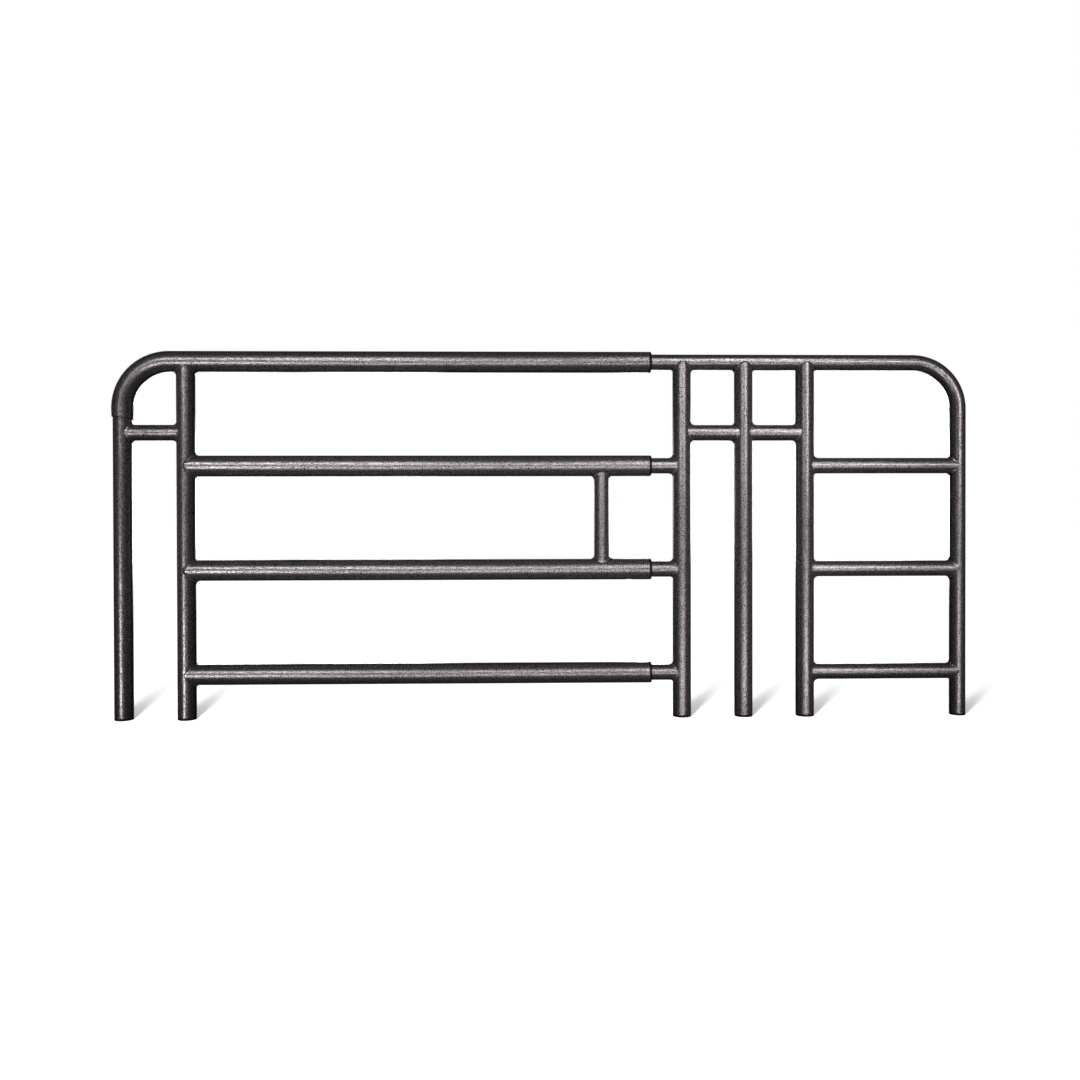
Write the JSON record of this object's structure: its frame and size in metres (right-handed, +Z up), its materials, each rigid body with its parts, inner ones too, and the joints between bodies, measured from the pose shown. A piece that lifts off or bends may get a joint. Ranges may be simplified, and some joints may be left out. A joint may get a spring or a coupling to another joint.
{
  "type": "telescopic bed side rail",
  "caption": "Welded round-tube safety rail for a bedside, whose inner section slides out of the outer section and snaps to its full length.",
  "frame": {"origin": "on the floor below the middle of the closed rail, in the rail's plane", "axes": "+X along the rail from the outer section to the sliding inner section, +Z up, +Y away from the side shown"},
  "size_m": [1.0464, 0.0254, 0.4482],
  "materials": {
    "brown_vein_coat": "semi-gloss vein powder coat, fine silver-grey wrinkle over brown-black",
    "black_nylon": "moulded, satin",
    "bright_steel": "zinc plated"
  },
  "bodies": {
    "outer_section": {"outer_top_tube": "brown_vein_coat", "left_end_post": "brown_vein_coat", "left_post": "brown_vein_coat", "left_strut": "brown_vein_coat", "outer_rail_upper": "brown_vein_coat", "outer_rail_middle": "brown_vein_coat", "outer_rail_lower": "brown_vein_coat", "rail_spacer": "brown_vein_coat", "top_guide_bush": "black_nylon", "upper_guide_bush": "black_nylon", "middle_guide_bush": "black_nylon", "lower_guide_bush": "black_nylon", "left_end_foot_plug": "black_nylon", "left_foot_plug": "black_nylon"},
    "inner_section": {"inner_top_tube": "brown_vein_coat", "inner_rail_upper": "brown_vein_coat", "inner_rail_middle": "brown_vein_coat", "inner_rail_lower": "brown_vein_coat", "inner_left_post": "brown_vein_coat", "inner_middle_post": "brown_vein_coat", "inner_right_post": "brown_vein_coat", "inner_strut_left": "brown_vein_coat", "inner_strut_right": "brown_vein_coat", "end_rung_upper": "brown_vein_coat", "end_rung_middle": "brown_vein_coat", "end_rung_lower": "brown_vein_coat", "top_glide_plug": "black_nylon", "upper_glide_plug": "black_nylon", "middle_glide_plug": "black_nylon", "lower_glide_plug": "black_nylon", "inner_left_foot_plug": "black_nylon", "inner_middle_foot_plug": "black_nylon", "inner_right_foot_plug": "black_nylon", "right_end_foot_plug": "black_nylon", "snap_spring": "bright_steel"},
    "snap_button": {"snap_button": "bright_steel"}
  },
  "joints": [
    {"name": "telescope", "type": "slide", "parent": "outer_section", "child": "inner_section", "axis": [1, 0, 0], "range_m": [-0.02, 0.43]},
    {"name": "snap_button_press", "type": "slide", "parent": "inner_section", "child": "snap_button", "axis": [0, 0, 1], "range_m": [0, 0.003], "stiffness_N_per_m": 2000, "springref_m": -0.004, "deforming": ["snap_spring"]}
  ]
}
